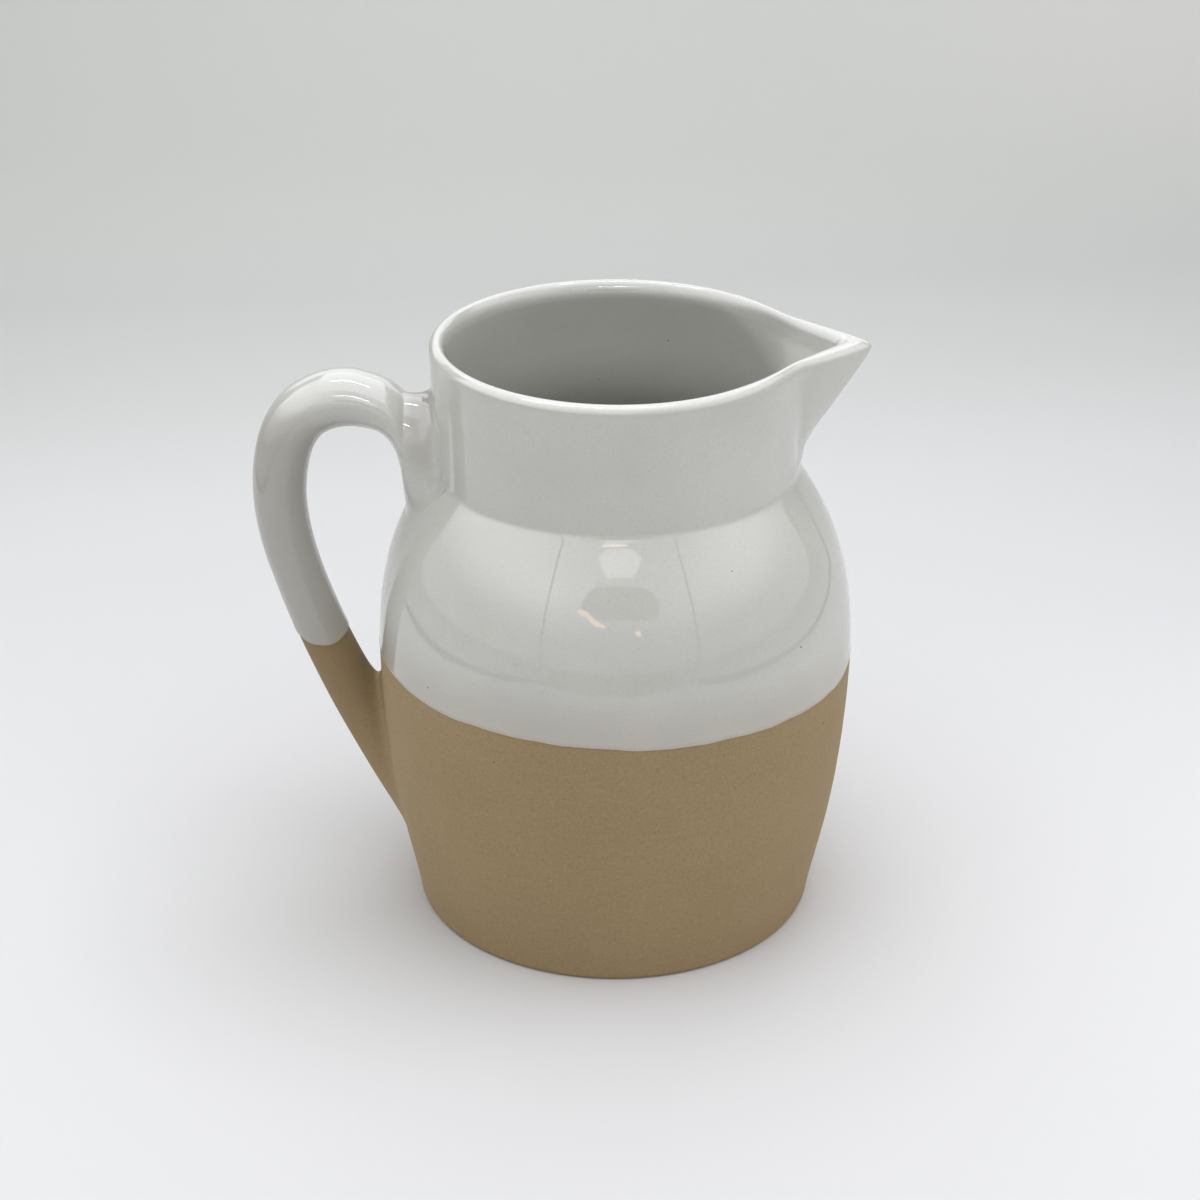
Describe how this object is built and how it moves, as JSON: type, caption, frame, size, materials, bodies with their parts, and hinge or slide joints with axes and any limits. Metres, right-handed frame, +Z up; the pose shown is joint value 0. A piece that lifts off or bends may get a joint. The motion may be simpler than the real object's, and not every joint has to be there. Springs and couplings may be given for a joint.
{
  "type": "jug",
  "caption": "Stoneware crock jug with a V-shaped spout, a pulled strap handle and pale glaze over its upper half.",
  "frame": {"origin": "centre of the flat foot, on the jug's axis, at floor level", "axes": "+Z up along the jug's axis, +X to the spout, handle on the -X side, so the part is the same on both sides of the XZ plane"},
  "size_m": [0.1805, 0.1424, 0.18],
  "materials": {
    "bare_clay": "matte",
    "pale_glaze": "gloss"
  },
  "bodies": {
    "root": {"body": "bare_clay", "spout": "bare_clay", "handle": "bare_clay", "outer_glaze": "pale_glaze", "liner_glaze": "pale_glaze", "spout_glaze": "pale_glaze", "handle_glaze": "pale_glaze"}
  },
  "joints": []
}
